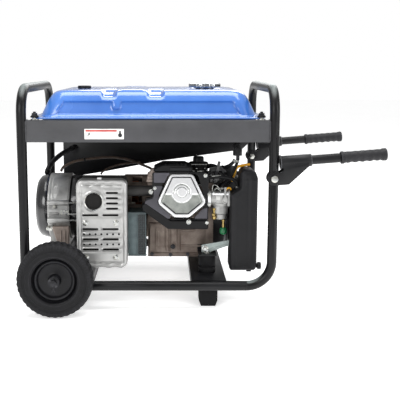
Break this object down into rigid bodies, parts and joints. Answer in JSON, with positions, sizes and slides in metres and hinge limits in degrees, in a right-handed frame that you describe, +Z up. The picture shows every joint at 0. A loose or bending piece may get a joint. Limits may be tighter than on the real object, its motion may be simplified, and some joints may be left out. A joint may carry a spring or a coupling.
{
  "type": "portable generator",
  "caption": "Open-frame petrol generator on a two-wheel tube cradle, with fold-down handles, steel tank, engine, alternator and control panel.",
  "frame": {"origin": "middle of the overall box, at floor level, under the right half of the cradle", "axes": "+X along the crankshaft towards the fold-out handles, +Y from the muffler side to the control-panel side, +Z up"},
  "size_m": [0.9878, 0.681, 0.617],
  "materials": {
    "cradle_enamel": "black powder coat, satin",
    "axle_steel": "zinc-plated",
    "zinc_fasteners": "zinc-plated",
    "mount_rubber": "moulded",
    "hose_rubber": "extruded",
    "cable_sheath": "extruded",
    "tank_enamel": "blue gloss enamel",
    "neck_steel": "plated",
    "gauge_plastic": "moulded",
    "cap_chrome": "plated",
    "valve_alloy": "die cast",
    "lever_plastic": "moulded",
    "cover_enamel": "black gloss enamel",
    "bracket_alloy": "die cast",
    "stator_enamel": "black varnish",
    "case_alloy": "die cast, brown-grey",
    "bearing_steel": "ground",
    "rocker_cover_alloy": "polished",
    "shroud_enamel": "dark grey enamel",
    "engine_plastic": "moulded nylon",
    "porcelain": "glazed white",
    "housing_enamel": "black enamel",
    "muffler_steel": "heat-resistant black",
    "shield_steel": "aluminised, pressed",
    "duct_enamel": "grey-green enamel",
    "carb_alloy": "die cast",
    "cleaner_plastic": "moulded polypropylene",
    "filter_paper": "pleated paper",
    "bracket_zinc": "zinc-plated",
    "panel_enamel": "black enamel",
    "outlet_plastic": "moulded phenolic",
    "tyre_rubber": "moulded",
    "rim_plastic": "moulded nylon",
    "grip_rubber": "moulded",
    "crank_steel": "forged and ground",
    "rotor_copper": "enamelled copper windings",
    "flywheel_iron": "cast",
    "piston_alloy": "cast",
    "switch_plastic": "moulded",
    "button_plastic": "moulded"
  },
  "bodies": {
    "root": {"end_hoops": "cradle_enamel", "bottom_rails": "cradle_enamel", "side_beams": "cradle_enamel", "cross_members": "cradle_enamel", "axle": "axle_steel", "rubber_mounts": "mount_rubber", "handle_pivot_bolts": "zinc_fasteners", "tank_upper_shell": "tank_enamel", "tank_lower_shell": "tank_enamel", "filler_neck": "neck_steel", "fuel_gauge": "gauge_plastic", "fixing_bolts": "zinc_fasteners", "fuel_valve": "valve_alloy", "rubber_hoses": "hose_rubber", "alternator_end_cover": "cover_enamel", "alternator_rear_bracket": "bracket_alloy", "stator": "stator_enamel", "alternator_front_bracket": "case_alloy", "shaft_bearings": "bearing_steel", "crankcase": "case_alloy", "cylinder_head": "case_alloy", "valve_cover": "rocker_cover_alloy", "head_shroud": "shroud_enamel", "fuel_pump": "engine_plastic", "spark_plug": "porcelain", "blower_housing": "housing_enamel", "recoil_cover": "housing_enamel", "muffler": "muffler_steel", "muffler_shield": "shield_steel", "cooling_duct": "duct_enamel", "carburettor": "carb_alloy", "air_cleaner_case": "cleaner_plastic", "air_cleaner_cover": "cleaner_plastic", "filter_element": "filter_paper", "engine_brackets": "bracket_zinc", "control_panel_case": "panel_enamel", "control_panel_face": "panel_enamel", "power_outlets": "outlet_plastic", "wiring_harness": "cable_sheath"},
    "wheel_front": {"tyre_front": "tyre_rubber", "wheel_hub_front": "rim_plastic"},
    "wheel_rear": {"tyre_rear": "tyre_rubber", "wheel_hub_rear": "rim_plastic"},
    "handle_front": {"handle_arm_front": "cradle_enamel", "handle_grip_front": "grip_rubber"},
    "handle_rear": {"handle_arm_rear": "cradle_enamel", "handle_grip_rear": "grip_rubber"},
    "cap_seal": {"cap_seal": "mount_rubber"},
    "fuel_cap": {"fuel_cap": "cap_chrome"},
    "fuel_valve_lever": {"fuel_valve_lever": "lever_plastic"},
    "choke_lever": {"choke_lever": "engine_plastic"},
    "recoil_grip": {"recoil_grip": "engine_plastic"},
    "recoil_pulley": {"recoil_pulley": "engine_plastic"},
    "rotating_assembly": {"crankshaft": "crank_steel", "rotor": "rotor_copper", "flywheel": "flywheel_iron"},
    "piston": {"piston": "piston_alloy"},
    "engine_switch": {"engine_switch": "switch_plastic"},
    "breaker_button": {"breaker_button": "button_plastic"},
    "oil_dipstick": {"oil_dipstick": "engine_plastic"}
  },
  "joints": [
    {"name": "wheel_front_spin", "type": "hinge", "parent": "root", "child": "wheel_front", "pos_m": [-0.3909, -0.3015, 0.102], "axis": [0, 1, 0], "continuous": true},
    {"name": "wheel_rear_spin", "type": "hinge", "parent": "root", "child": "wheel_rear", "pos_m": [-0.3909, 0.3015, 0.102], "axis": [0, 1, 0], "continuous": true},
    {"name": "handle_front_fold", "type": "hinge", "parent": "root", "child": "handle_front", "pos_m": [0.19275, -0.24515, 0.366], "axis": [0, 1, 0], "range_deg": [0, 90]},
    {"name": "handle_rear_fold", "type": "hinge", "parent": "root", "child": "handle_rear", "pos_m": [0.19275, 0.24515, 0.366], "axis": [0, 1, 0], "range_deg": [0, 90]},
    {"name": "cap_lift", "type": "slide", "parent": "root", "child": "cap_seal", "axis": [0, 0, 1], "range_m": [0, 0.06]},
    {"name": "cap_turn", "type": "hinge", "parent": "cap_seal", "child": "fuel_cap", "pos_m": [0.0161, -0.06, 0.608], "axis": [0, 0, 1], "range_deg": [0, 90]},
    {"name": "fuel_valve_turn", "type": "hinge", "parent": "root", "child": "fuel_valve_lever", "pos_m": [0.1081, -0.136, 0.43], "axis": [0, 1, 0], "range_deg": [0, 90]},
    {"name": "choke_turn", "type": "hinge", "parent": "root", "child": "choke_lever", "pos_m": [0.0701, -0.17029, 0.29501], "axis": [0, 1, 0], "range_deg": [-60, 0]},
    {"name": "recoil_pull", "type": "slide", "parent": "root", "child": "recoil_grip", "axis": [0, 1, 0], "range_m": [0, 0.6], "stiffness_N_per_m": 15, "springref_m": -0.3},
    {"name": "recoil_pulley_turn", "type": "hinge", "parent": "root", "child": "recoil_pulley", "pos_m": [0.1331, 0.02, 0.24], "axis": [1, 0, 0], "range_deg": [-720, 0]},
    {"name": "crankshaft_spin", "type": "hinge", "parent": "root", "child": "rotating_assembly", "pos_m": [-0.0519, 0.02, 0.24], "axis": [1, 0, 0], "continuous": true},
    {"name": "piston_stroke", "type": "slide", "parent": "root", "child": "piston", "axis": [0, 0.9511, -0.309], "range_m": [0, 0.05]},
    {"name": "engine_switch_rock", "type": "hinge", "parent": "root", "child": "engine_switch", "pos_m": [-0.2539, 0.248, 0.416], "axis": [1, 0, 0], "range_deg": [0, 20]},
    {"name": "breaker_push", "type": "slide", "parent": "root", "child": "breaker_button", "axis": [0, -1, 0], "range_m": [0, 0.004], "stiffness_N_per_m": 200},
    {"name": "dipstick_pull", "type": "slide", "parent": "root", "child": "oil_dipstick", "axis": [0, 1, 0], "range_m": [0, 0.09]}
  ],
  "couplings": [
    {"joint": "recoil_pulley_turn", "follows": "recoil_pull", "rad_per_m": -20.833}
  ]
}
